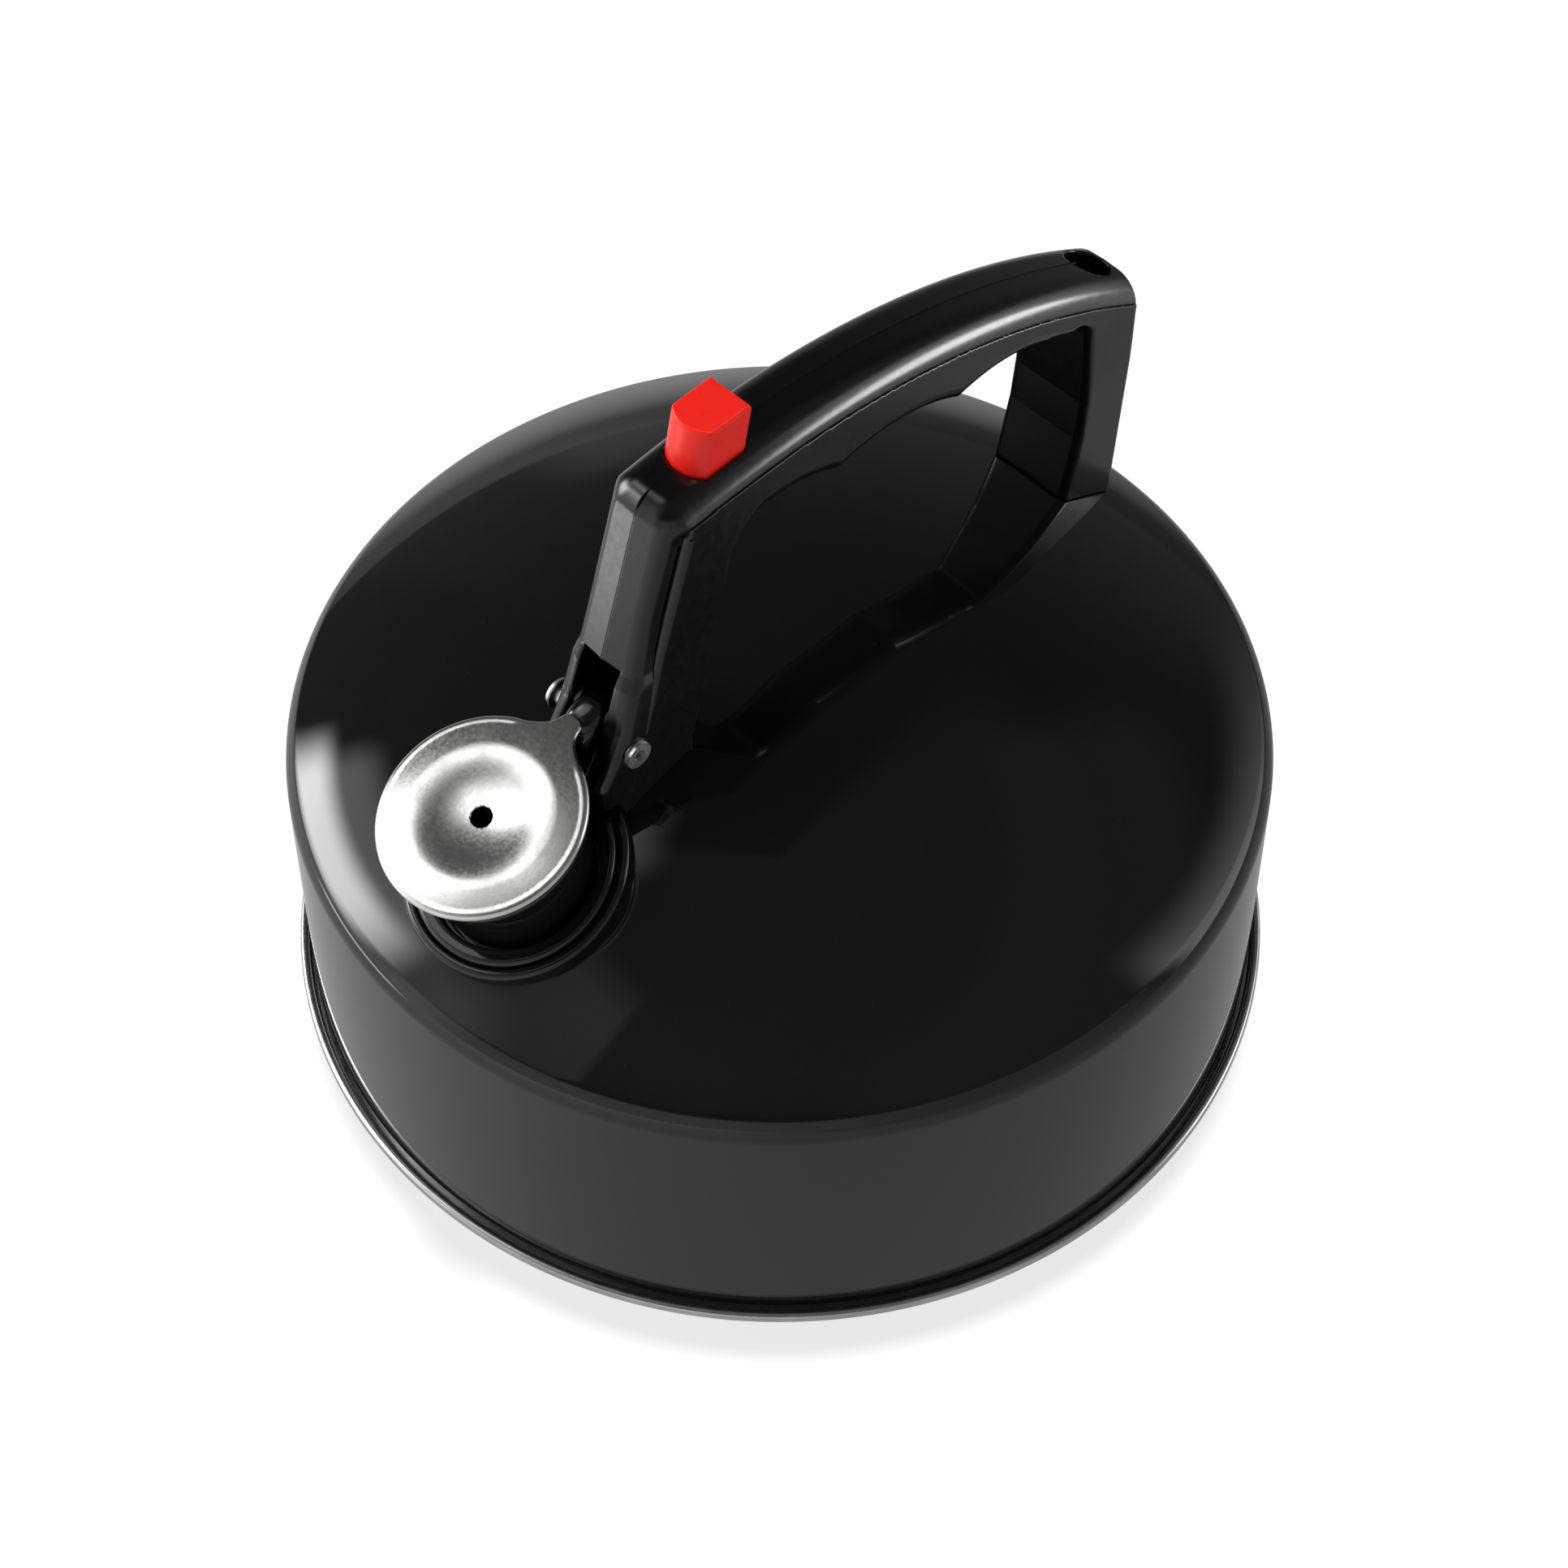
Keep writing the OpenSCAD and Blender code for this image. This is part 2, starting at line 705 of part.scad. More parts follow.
module cap_plate() color([0.8, 0.8, 0.81]) {
    ball_r = ((dish_d / 2) * (dish_d / 2) + dish_h * dish_h) / (2 * dish_h);
    at_spout() difference() {
        union() {
            translate([0, 0, cap_h - cap_t]) cylinder(r = cap_r - rim_r, h = cap_t);
            translate([0, 0, cap_h - rim_r]) rotate_extrude()
                translate([cap_r - rim_r, 0]) circle(r = rim_r);
            intersection() {
                translate([0, 0, cap_h - dish_h - cap_t])
                    cylinder(r = dish_d / 2 + 1, h = dish_h + cap_t);
                translate([0, 0, cap_h + ball_r - dish_h]) sphere(r = ball_r + cap_t);
            }
            translate([0, 0, cap_h - tab_t]) linear_extrude(height = tab_t)
                for (m = [0, 1])
                    mirror([0, m]) polygon([[tab_end, -eps],
                                            [tab_end, tab_w / 2],
                                            [-cap_r - 3.5, tab_w / 2],
                                            [-cap_r - 1.7, tab_w / 2 + 0.5],
                                            [0.1 - cap_r, tab_w / 2 + 2.1],
                                            [1.7 - cap_r, tab_w / 2 + 5.1],
                                            [6.1 - cap_r, tab_w / 2 + 7.1],
                                            [6.1 - cap_r, -eps]]);
        }
        translate([0, 0, cap_h + ball_r - dish_h]) sphere(r = ball_r);
        cylinder(r = steam_d / 2, h = through);
        translate([pin_x, 0, 0]) cylinder(r = pin_r + fit, h = through);
    }
}

module whistle_plate() color([0.7, 0.7, 0.71]) {
    low = mouth_h + plate_gap;
    at_spout() difference() {
        union() {
            translate([0, 0, low]) cylinder(r = plate_r - 0.4, h = plate_t);
            translate([0, 0, low]) rotate_extrude()
                translate([plate_r - plate_edge_r, plate_edge_r]) circle(r = plate_edge_r);
            translate([0, 0, low - plate_boss_h]) cylinder(r = plate_boss_r, h = plate_boss_h + 0.1);
        }
        translate([0, 0, low - plate_boss_h + plate_t]) cylinder(r = plate_boss_r - plate_t, h = 3);
        cylinder(r = steam_d / 2 - steam_step, h = through);
    }
}

module cap_rivet() color([0.8, 0.8, 0.81]) {
    at_spout() union() {
        translate([pin_x, 0, pin_low + fit]) cylinder(r = pin_r, h = block_top - pin_low);
        translate([pin_x, 0, block_top + fit]) cylinder(r = pin_head_r, h = pin_head_t);
    }
}

body_shell();
base_pan();
heat_disc();
spout_neck();
spout_collar();
neck_lock_ring();
handle();
front_bracket();
pivot_rivet();
rivet_washer_left();
rivet_washer_right();
rear_stud();
rear_screw();
rear_washer();
rear_lock_washer();
button();
push_rod();
rod_clip();
button_spring();
cap_lever();
cap_plate();
whistle_plate();
cap_rivet();
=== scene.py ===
"""Stovetop whistling kettle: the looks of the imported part, its light and its camera."""

from math import acos, atan2, cos, degrees, pi, radians, sin, sqrt, tan

import bpy
import numpy as np
from mathutils import Matrix, Vector


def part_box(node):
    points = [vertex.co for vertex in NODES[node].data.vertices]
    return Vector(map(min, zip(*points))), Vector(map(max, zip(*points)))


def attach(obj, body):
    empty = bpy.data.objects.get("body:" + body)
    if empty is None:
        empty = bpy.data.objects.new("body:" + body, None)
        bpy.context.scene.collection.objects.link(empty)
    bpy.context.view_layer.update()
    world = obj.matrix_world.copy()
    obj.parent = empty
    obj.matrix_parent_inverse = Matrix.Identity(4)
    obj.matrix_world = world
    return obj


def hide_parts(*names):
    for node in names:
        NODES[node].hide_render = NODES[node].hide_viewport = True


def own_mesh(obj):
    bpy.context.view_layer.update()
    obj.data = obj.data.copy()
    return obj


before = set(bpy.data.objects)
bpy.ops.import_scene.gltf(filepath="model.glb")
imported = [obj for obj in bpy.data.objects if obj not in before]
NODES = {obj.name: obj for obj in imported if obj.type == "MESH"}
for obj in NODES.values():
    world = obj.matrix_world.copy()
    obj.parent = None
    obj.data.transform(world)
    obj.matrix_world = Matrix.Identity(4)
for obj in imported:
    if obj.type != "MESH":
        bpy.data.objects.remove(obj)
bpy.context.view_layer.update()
MM = 0.001

# ---------------------------------------------------------------- sizes, in millimetres
BASE_R = -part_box("base_pan")[0].x / MM
HEM_TOP = 2.4
HEM_FOLD_R = 97.9
PAN_FLOOR = 2.0
PAN_SHEET = 0.8
LAND_R = 88.0
WALL_R = 97.3
WALL_FOOT = 0.8
WALL_TOP = 59.0
GROOVE_DEPTH = 0.5
GROOVE_TOP = 3.3
DOME_TOP = 94.7
DOME_R = 163.407
DOME_C = DOME_TOP - DOME_R
SHOULDER_R = 7.0
SHEET = 1.0
SPOUT = Vector((69.0, 0.0, 79.417))
SPOUT_TILT = radians(18.2)
COLLAR_TILT = radians(24.0)
COLLAR_R = 22.5
COLLAR_HALF = 2.1
COLLAR_BORE_R = 16.5
NECK_R = 15.6
MOUTH_R = 19.0
MOUTH_H = 21.0
CAP_R = 20.1
CAP_H = 24.7
PIVOT = Vector((47.1, 0.0, 103.0))
BUTTON = Vector((11.5, 0.0, 164.6))
BUTTON_MID = 4.4
BUTTON_ROUND = 7.2
BUTTON_HALF = 5.2
PUSH_LEAN = radians(12.0)
WELL_GAP = 0.35
WELL_DEPTH = 22.2
SCREW = Vector((-79.3, 0.0, 74.63))
SCREW_LEAN = radians(5.5)
ACCESS_R = 4.7
WEB_TOP = 20.6
STUD_ROOM_R = 4.85
STUD_ROOM_H = 13.4
ARCH_R = 193.0
ARCH_C = (13.0, -37.3)


# ---------------------------------------------------------------- mesh helpers
def smoothstep(low, high, x):
    """0 at low, 1 at high, with a soft start and end; low may be the larger."""
    t = np.clip((x - low) / (high - low), 0, 1)
    return t * t * (3 - 2 * t)


def round_max(a, b, r):
    """Both at once, with the edge between them rounded to radius r."""
    return np.minimum(np.maximum(a, b), -r) + np.hypot(np.maximum(a + r, 0), np.maximum(b + r, 0))


def round_min(a, b, r):
    """Either of two, with the corner between them filled to radius r."""
    return -round_max(-a, -b, r)


def rounded(points, step=9):
    """Outline through points (a, b) or (a, b, radius), with an arc at each point that has a radius."""
    out = []
    count = len(points)
    for i, p in enumerate(points):
        here = np.array(p[:2], float)
        r = p[2] if len(p) > 2 else 0
        if not r:
            out.append(here)
            continue
        u = np.array(points[i - 1][:2], float) - here
        v = np.array(points[(i + 1) % count][:2], float) - here
        u, v = u / np.hypot(*u), v / np.hypot(*v)
        half = acos(np.clip(u @ v, -1, 1)) / 2
        centre = here + (u + v) / np.hypot(*(u + v)) * r / sin(half)
        start = here + u * r / tan(half) - centre
        end = here + v * r / tan(half) - centre
        turn = atan2(start[0] * end[1] - start[1] * end[0], start @ end)
        n = max(2, round(abs(degrees(turn)) / step))
        for k in range(n + 1):
            c, s = cos(turn * k / n), sin(turn * k / n)
            out.append(centre + (c * start[0] - s * start[1], s * start[0] + c * start[1]))
    return np.array(out)


def arc(centre, r, a0, a1, n):
    """Points on an arc, angles in degrees."""
    a = np.radians(np.linspace(a0, a1, n))
    return np.stack([centre[0] + r * np.cos(a), centre[1] + r * np.sin(a)], -1)


def arc_between(a, b, r, n=24):
    """Points from a to b on the arc of radius r whose middle is to the left of the way there."""
    a, b = np.array(a, float), np.array(b, float)
    d = b - a
    half = np.hypot(*d) / 2
    centre = (a + b) / 2 + np.array([-d[1], d[0]]) / (2 * half) * sqrt(r * r - half * half)
    p, q = a - centre, b - centre
    turn = atan2(p[0] * q[1] - p[1] * q[0], p @ q)
    t = np.linspace(0, turn, n)
    return centre + np.stack([p[0] * np.cos(t) - p[1] * np.sin(t), p[0] * np.sin(t) + p[1] * np.cos(t)], -1)


def outline_distance(points, x, z):
    """Distance to a closed outline in a plane, negative inside."""
    best = np.full(x.shape, 1e18)
    inside = np.zeros(x.shape, bool)
    for (ax, az), (bx, bz) in zip(points, np.roll(points, -1, 0)):
        ex, ez = bx - ax, bz - az
        px, pz = x - ax, z - az
        t = np.clip((px * ex + pz * ez) / max(ex * ex + ez * ez, 1e-12), 0, 1)
        best = np.minimum(best, (px - t * ex) ** 2 + (pz - t * ez) ** 2)
        if az != bz:
            inside ^= ((az > z) != (bz > z)) & (x < ex * (z - az) / ez + ax)
    return np.where(inside, -1, 1) * np.sqrt(best)


def placed(origin, tilt=0.0):
    """Frame at a point in millimetres, leaning by tilt towards the front."""
    return Matrix.Translation(origin) @ Matrix.Rotation(tilt, 4, "Y")


HERE = Matrix.Identity(4)
AT_SPOUT = placed(SPOUT, SPOUT_TILT)
AT_COLLAR = placed(SPOUT, COLLAR_TILT)
AT_SCREW = placed(SCREW, -SCREW_LEAN)
AT_PUSH = placed(BUTTON, -PUSH_LEAN)


def local(matrix, x, y, z):
    """Coordinates of points in a placed frame."""
    m = np.array(matrix.inverted())
    return tuple(m[i, 0] * x + m[i, 1] * y + m[i, 2] * z + m[i, 3] for i in range(3))


def make(name, verts, faces, matrix, body, material, replaces=(), normals=None):
    """Object from points in millimetres, riding on a body."""
    m = np.array(matrix)
    verts = (np.asarray(verts) @ m[:3, :3].T + m[:3, 3]) * MM
    mesh = bpy.data.meshes.new(name)
    mesh.from_pydata(verts.tolist(), [], [list(map(int, f)) for f in faces])
    mesh.update()
    mesh.polygons.foreach_set("use_smooth", [True] * len(mesh.polygons))
    if normals is not None:
        mesh.normals_split_custom_set((normals @ m[:3, :3].T).tolist())
    obj = bpy.data.objects.new(name, mesh)
    bpy.context.scene.collection.objects.link(obj)
    mesh.materials.append(material)
    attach(obj, body)
    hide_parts(*replaces)
    return obj


def edge_normals(p):
    """Normals at the start and the end of each side of a closed profile, crisp at corners over 35 degrees,
    and the order of its points: 1 for anticlockwise, -1 for clockwise."""
    q = np.roll(p, -1, 0)
    seg = q - p
    length = np.hypot(*seg.T)
    order = -1 if np.sum(p[:, 0] * q[:, 1] - q[:, 0] * p[:, 1]) < 0 else 1
    flat = order * np.stack([seg[:, 1], -seg[:, 0]], -1) / length[:, None]
    before, weight = np.roll(flat, 1, 0), np.roll(length, 1)
    soft = np.sum(before * flat, 1) > cos(radians(35))
    mix = before * weight[:, None] + flat * length[:, None]
    mix /= np.hypot(*mix.T)[:, None]
    start = np.where(soft[:, None], mix, flat)
    end = np.where(np.roll(soft, -1)[:, None], np.roll(mix, -1, 0), flat)
    return start, end, order


def lathe(name, profile, matrix, body, material, replaces=(), steps=256, change=None):
    """Solid turned from a closed profile of (radius, height), which change() may alter before it is made."""
    p = np.asarray(profile, float)
    p = p[np.hypot(*(p - np.roll(p, 1, 0)).T) > 1e-6]
    n = len(p)
    start, end, order = edge_normals(p)
    a = np.linspace(0, 2 * pi, steps, endpoint=False)
    c, s = np.cos(a), np.sin(a)
    verts, index = [], np.zeros((steps, n), int)
    for i, (r, z) in enumerate(p):
        if r < 1e-6:
            index[:, i] = len(verts)
            verts.append((0, 0, z))
        else:
            index[:, i] = len(verts) + np.arange(steps)
            verts.extend(zip(r * c, r * s, [z] * steps))
    faces, normals = [], []
    for i in range(n):
        j = (i + 1) % n
        if p[i, 0] < 1e-6 and p[j, 0] < 1e-6:
            continue
        for k in range(steps):
            m = (k + 1) % steps
            loop = [(k, i), (m, i), (m, j), (k, j)][::order]
            ring, used = [], set()
            for kk, ii in loop:
                v = index[kk, ii]
                if v in used:
                    continue
                used.add(v)
                nr, nz = start[i] if ii == i else end[i]
                ring.append(v)
                normals.append((nr * c[kk], nr * s[kk], nz))
            faces.append(ring)
    verts, normals = np.array(verts, float), np.array(normals)
    if change:
        verts, faces, normals = change(verts, faces, normals)
    return make(name, verts, faces, matrix, body, material, replaces, normals)


def gradient(f, v, h=0.04):
    """Slope of a distance at each point, by differences over h to either side."""
    g = np.empty_like(v)
    for i in range(3):
        d = np.zeros(3)
        d[i] = h
        g[:, i] = (f(*(v + d).T) - f(*(v - d).T)) / (2 * h)
    return g


def carve(name, f, low, high, step, matrix, body, material, replaces=()):
    """Surface where f, a distance in millimetres, is zero: one point in each cell that it crosses,
    drawn onto it."""
    low, high = np.array(low, float), np.array(high, float)
    count = np.ceil((high - low) / step).astype(int) + 1
    axes = [low[i] + step * np.arange(count[i]) for i in range(3)]
    x, y, z = np.meshgrid(*axes, indexing="ij", sparse=True)
    d = np.broadcast_to(f(x, y, z), count).astype(np.float32)
    inside = d < 0
    nx, ny, nz = count - 1
    total = np.zeros((nx, ny, nz, 3), np.float32)
    hits = np.zeros((nx, ny, nz), np.float32)
    corners = [(i, j, k) for i in (0, 1) for j in (0, 1) for k in (0, 1)]
    for a in corners:
        for axis in range(3):
            if a[axis]:
                continue
            b = tuple(a[i] + (i == axis) for i in range(3))
            da = d[a[0]:nx + a[0], a[1]:ny + a[1], a[2]:nz + a[2]]
            db = d[b[0]:nx + b[0], b[1]:ny + b[1], b[2]:nz + b[2]]
            cut = (da < 0) != (db < 0)
            t = np.where(cut, da / np.where(cut, da - db, 1), 0)
            for i in range(3):
                total[..., i] += np.where(cut, a[i] + (t if i == axis else 0), 0)
            hits += cut
    cells = hits > 0
    number = np.full(cells.shape, -1, np.int64)
    number[cells] = np.arange(cells.sum())
    base = np.argwhere(cells)
    v = low + step * (base + total[cells] / hits[cells][:, None])
    faces = []
    for axis in range(3):
        b, c = (axis + 1) % 3, (axis + 2) % 3
        near = np.take(inside, range(count[axis] - 1), axis)
        far = np.take(inside, range(1, count[axis]), axis)
        spots = np.argwhere(near != far)
        across, limit = spots[:, [b, c]], count[[b, c]] - 1
        spots = spots[np.all((across > 0) & (across < limit), 1)]
        here, eb, ec = np.zeros(3, int), np.eye(3, dtype=int)[b], np.eye(3, dtype=int)[c]
        quad = [number[tuple((spots - o).T)] for o in (eb + ec, ec, here, eb)]
        quad = np.stack(quad, -1)
        turned = ~near[tuple(spots.T)]
        quad[turned] = quad[turned][:, ::-1]
        faces.append(quad)
    faces = np.concatenate(faces)
    for _ in range(4):
        g = gradient(f, v)
        size = np.maximum(np.sum(g * g, 1), 0.2)
        move = (f(*v.T) / size)[:, None] * g
        v -= np.clip(move, -step, step)
    g = gradient(f, v)
    g /= np.maximum(np.linalg.norm(g, axis=1), 1e-9)[:, None]
    return make(name, v, faces, matrix, body, material, replaces, g[faces.ravel()])


# ---------------------------------------------------------------- materials
def node(tree, kind, inputs=None, **settings):
    """Shader node with its inputs set to values or linked to sockets."""
    made = tree.nodes.new("ShaderNode" + kind)
    for key, value in settings.items():
        setattr(made, key, value)
    for key, value in (inputs or {}).items():
        socket = made.inputs[key]
        if isinstance(value, bpy.types.NodeSocket):
            tree.links.new(value, socket)
        else:
            socket.default_value = value
    return made


def ramp(tree, value, low, high, to_low=0.0, to_high=1.0):
    """Soft step from to_low, where the value is low, to to_high, where it is high."""
    inputs = {0: value, 1: low, 2: high, 3: to_low, 4: to_high}
    return node(tree, "MapRange", inputs, interpolation_type="SMOOTHSTEP").outputs[0]


def maths(tree, kind, a, b=0.0):
    return node(tree, "Math", {0: a, 1: b}, operation=kind).outputs[0]


def product(tree, first, *others):
    for other in others:
        first = maths(tree, "MULTIPLY", first, other)
    return first


def total(tree, first, *others):
    for other in others:
        first = maths(tree, "ADD", first, other)
    return first


def noise(tree, scale, detail=3.0, rough=0.5):
    """Cloudy value over the piece, its scale in cells to the metre."""
    where = node(tree, "TexCoord").outputs["Object"]
    inputs = {"Vector": where, "Scale": scale, "Detail": detail, "Roughness": rough}
    return node(tree, "TexNoise", inputs).outputs[0]


def blank(name):
    mat = bpy.data.materials.new(name)
    mat.use_nodes = True
    mat.node_tree.nodes.clear()
    return mat, mat.node_tree


def finish_material(tree, shader):
    tree.links.new(shader.outputs[0], node(tree, "OutputMaterial").inputs[0])


def surface(tree, colour, gloss, height, strength, **others):
    """Surface with a fine relief; other shader inputs by their names."""
    bump = node(tree, "Bump", {"Strength": strength, "Distance": 0.0002, "Height": height})
    inputs = {"Base Color": colour, "Roughness": gloss, "Normal": bump.outputs[0], **others}
    finish_material(tree, node(tree, "BsdfPrincipled", inputs))


def tint(tree, factor, a, b):
    """Colour between a, where the factor is 0, and b, where it is 1."""
    made = node(tree, "Mix", data_type="RGBA")
    tree.links.new(factor, made.inputs[0])
    made.inputs[6].default_value = (*a, 1)
    made.inputs[7].default_value = (*b, 1)
    return made.outputs[2]


def plastic(name, dark, light, rough, grain, strength, specks=0.0, ior=1.5):
    """Moulded plastic or enamel: a dark colour with faint light clouds and dust specks, and a fine skin."""
    mat, tree = blank(name)
    cloud = ramp(tree, noise(tree, 400, 4), 0.3, 0.8, 0, 0.02)
    dust = ramp(tree, noise(tree, 1500, 2, 0.4), 0.74, 0.8)
    colour = tint(tree, maths(tree, "MAXIMUM", cloud, product(tree, dust, specks)), dark, light)
    gloss = ramp(tree, noise(tree, 700, 4), 0.3, 0.7, rough * 0.9, rough * 1.1)
    surface(tree, colour, gloss, noise(tree, grain, 3), strength, IOR=ior)
    return mat


def metal(name, dark, light, rough, scale, strength):
    """Worn sheet metal with clouded patches and fine marks."""
    mat, tree = blank(name)
    patches = noise(tree, scale, 5, 0.6)
    fine = noise(tree, scale * 14, 3)
    colour = tint(tree, ramp(tree, patches, 0.35, 0.65), dark, light)
    gloss = ramp(tree, maths(tree, "ADD", patches, fine), 0.7, 1.3, rough * 1.3, rough * 0.8)
    surface(tree, colour, gloss, fine, strength, Metallic=1.0)
    return mat


ENAMEL = plastic("enamel", (0.006, 0.006, 0.0062), (0.05, 0.05, 0.05), 0.045, 700, 0.003, 0.35)
HANDLE = plastic("handle_plastic", (0.0015, 0.0015, 0.0016), (0.01, 0.01, 0.01), 0.22, 2200, 0.04, 0.3)
LEVER = plastic("lever_plastic", (0.003, 0.003, 0.0032), (0.01, 0.01, 0.01), 0.1, 2200, 0.02, 0.1)
BRACKET = plastic("bracket_paint", (0.003, 0.003, 0.0032), (0.012, 0.012, 0.012), 0.25, 1500, 0.06, 0.2)
RED = plastic("button_plastic", (0.82, 0.016, 0.009), (0.86, 0.03, 0.02), 0.3, 1800, 0.04, 0.02, 1.33)
CAP_STEEL = metal("cap_steel", (0.62, 0.62, 0.61), (0.78, 0.78, 0.77), 0.2, 110, 0.03)
BASE_STEEL = metal("base_steel", (0.5, 0.5, 0.5), (0.66, 0.66, 0.66), 0.22, 40, 0.04)
RIVET = metal("rivet_steel", (0.75, 0.75, 0.75), (0.9, 0.9, 0.9), 0.4, 300, 0.05)
BRIGHT = metal("bright_steel", (0.7, 0.7, 0.7), (0.85, 0.85, 0.85), 0.16, 200, 0.03)
PLAIN = metal("plain_steel", (0.45, 0.45, 0.45), (0.6, 0.6, 0.6), 0.3, 200, 0.05)
DARK = metal("dark_steel", (0.1, 0.1, 0.1), (0.2, 0.2, 0.2), 0.35, 200, 0.05)
DISC = metal("disc_aluminium", (0.55, 0.55, 0.56), (0.72, 0.72, 0.73), 0.35, 120, 0.08)


# ---------------------------------------------------------------- kettle body
def body_profile():
    """Sheet of the wall, its shoulder and the dome, with a groove round the foot."""
    lean = degrees(atan2(WALL_TOP - DOME_C, WALL_R - SHOULDER_R))
    shoulder, middle = (WALL_R - SHOULDER_R, WALL_TOP), (0, DOME_C)
    foot_r = WALL_R - GROOVE_DEPTH
    foot = np.array([(foot_r - SHEET, WALL_FOOT), (foot_r, WALL_FOOT), (foot_r, GROOVE_TOP)])
    edge = rounded([(foot_r, GROOVE_TOP), (WALL_R, GROOVE_TOP, 0.3), (WALL_R, GROOVE_TOP + 1.7)])[1:]
    outer = [foot, edge, arc(shoulder, SHOULDER_R, 0, lean, 18), arc(middle, DOME_R, lean, 90, 60)[1:]]
    inner = [arc(middle, DOME_R - SHEET, 90, lean, 60), arc(shoulder, SHOULDER_R - SHEET, lean, 0, 18)[1:]]
    inner.append(np.array([(WALL_R - SHEET, GROOVE_TOP + SHEET), (foot_r - SHEET, GROOVE_TOP)]))
    p = np.concatenate(outer + inner)
    p[np.abs(p[:, 0]) < 1e-6, 0] = 0
    return p


def spout_hole(verts, faces, normals):
    """Dome with the hole under the spout, its edge drawn into the wall of the neck."""
    u, v, h = local(AT_SPOUT, *verts.T)
    off = np.hypot(u, v)
    edge = NECK_R - 0.5
    under_neck = -12
    inside = (off < edge) & (h > under_neck)
    kept = [not all(inside[f]) for f in faces]
    grow = edge / np.maximum(off, 1e-6)
    m = np.array(AT_SPOUT)
    moved = np.stack([u * grow, v * grow, h], -1) @ m[:3, :3].T + m[:3, 3]
    centre = np.array((0, 0, DOME_C))
    skin = np.linalg.norm(verts - centre, axis=1)
    way = (moved - centre) / np.linalg.norm(moved - centre, axis=1)[:, None]
    verts = np.where(inside[:, None], centre + way * skin[:, None], verts)
    sizes = [len(f) for f in faces]
    loops = np.concatenate(faces)
    side = np.where(skin > DOME_R - SHEET / 2, 1, -1)[:, None]
    normals = np.where(inside[loops][:, None], (way * side)[loops], normals)
    normals = normals[np.repeat(kept, sizes)]
    return verts, [f for f, k in zip(faces, kept) if k], normals


def kettle_body():
    """Enamelled body, open under the spout."""
    return lathe("kettle_body", body_profile(), HERE, "kettle", ENAMEL, ["body_shell"],
                 steps=320, change=spout_hole)


def base():
    """Pan whose edge is rolled up round the wall's foot as a hem."""
    high, inner_r = PAN_FLOOR + PAN_SHEET, LAND_R + PAN_SHEET
    pan = [(0, high), (inner_r, high, 0.4), (inner_r, PAN_SHEET, 0.4), (HEM_FOLD_R, PAN_SHEET, 0.2),
           (HEM_FOLD_R, HEM_TOP, 1.0), (BASE_R, HEM_TOP, 1.04), (BASE_R, 0, 1.04), (LAND_R, 0, 0.6),
           (LAND_R, PAN_FLOOR, 0.6), (0, PAN_FLOOR)]
    return lathe("base_ring", rounded(pan)[::-1], HERE, "kettle", BASE_STEEL, ["base_pan"], 320)


def neck():
    """Spout with a rolled lip."""
    foot, lip = -5, 3.5
    p = [(NECK_R - 1, foot), (NECK_R, foot), (NECK_R, MOUTH_H - lip - 0.1, 1.0),
         (MOUTH_R, MOUTH_H - lip, 1.7), (MOUTH_R, MOUTH_H, 1.7), (NECK_R - 1, MOUTH_H, 1.6)]
    return lathe("spout_neck_piece", rounded(p), AT_SPOUT, "kettle", ENAMEL, ["spout_neck"], 192)


def collar():
    """Ring round the foot of the spout: a rounded rim, a groove and a higher bead."""
    bead = 3.0
    p = [(COLLAR_BORE_R, -1.3), (COLLAR_R, -COLLAR_HALF), (COLLAR_R, COLLAR_HALF, 1.15),
         (COLLAR_R - 1.8, COLLAR_HALF, 0.6), (COLLAR_R - 2.2, 1.3), (COLLAR_R - 2.6, bead, 1.2),
         (COLLAR_BORE_R + 0.4, bead, 1.2), (COLLAR_BORE_R + 0.1, 1.0), (COLLAR_BORE_R, 0)]
    return lathe("spout_collar_piece", rounded(p), AT_COLLAR, "kettle", ENAMEL,
                 ["spout_collar"], 192)


# ---------------------------------------------------------------- handle
ROOF = 0.045  # fall of the grip's top towards its sides, as a slope
FRONT_ROOF = 0.08
FRONT_LEAN = radians(17.6)
FRONT = (45.4, 120.6)
BACK_LEAN = radians(5.2)
BACK = (-89.9, 117.0)
CORNER_R = 3.5
COVER_DEPTH = 4.7
GRIP_COVER_HALF = 9.15
LEG_COVER_HALF = 7.4
CORE_HALF = 9.2
LEG_LOW = (31.6, 93.7)  # two points on the front leg's side of the opening
LEG_HIGH = (27.7, 107.4)
FORK_SLOT_HALF = 4.6
FORK_SLOT_TOP = 119.8
FORK_WEB = 2.6


def hand_gap():
    """Outline of the opening for the hand: the front leg, three waves for the fingers and the rear leg."""
    cusps = [(10.5, 140.3), (-6.8, 135.2), (-39.1, 129.9), (-63.0, 127.0)]
    front = [(LEG_LOW[0], 82.0), LEG_LOW, LEG_HIGH, (21.1, 131.5)]
    fillet = arc((11.9, 131.4), 9, 8, 97, 14)
    waves = [arc_between(a, b, r) for a, b, r in zip(cusps, cusps[1:], (34, 43, 35))]
    corner = arc((-71.6, 121.2), 4.2, 80, 185, 10)
    back = [(-75.6, 110), (-75.4, 102.6), (-74.3, 92.9), (-70.7, 77.3), (-68, 68)]
    return np.concatenate([front, fillet, *waves, corner, back])


GAP = hand_gap()
# side view of the wide toe, from the fork down to the collar
TOE = rounded([(33, 119), (31, 80), (54.3, 78), (55.7, 97.5, 4), (49.6, 108.2, 5), (46.5, 117.5, 3),
               (44, 119)])


def mixed(a, b, t):
    """From a, where t is 0, to b, where it is 1."""
    return a + (b - a) * t


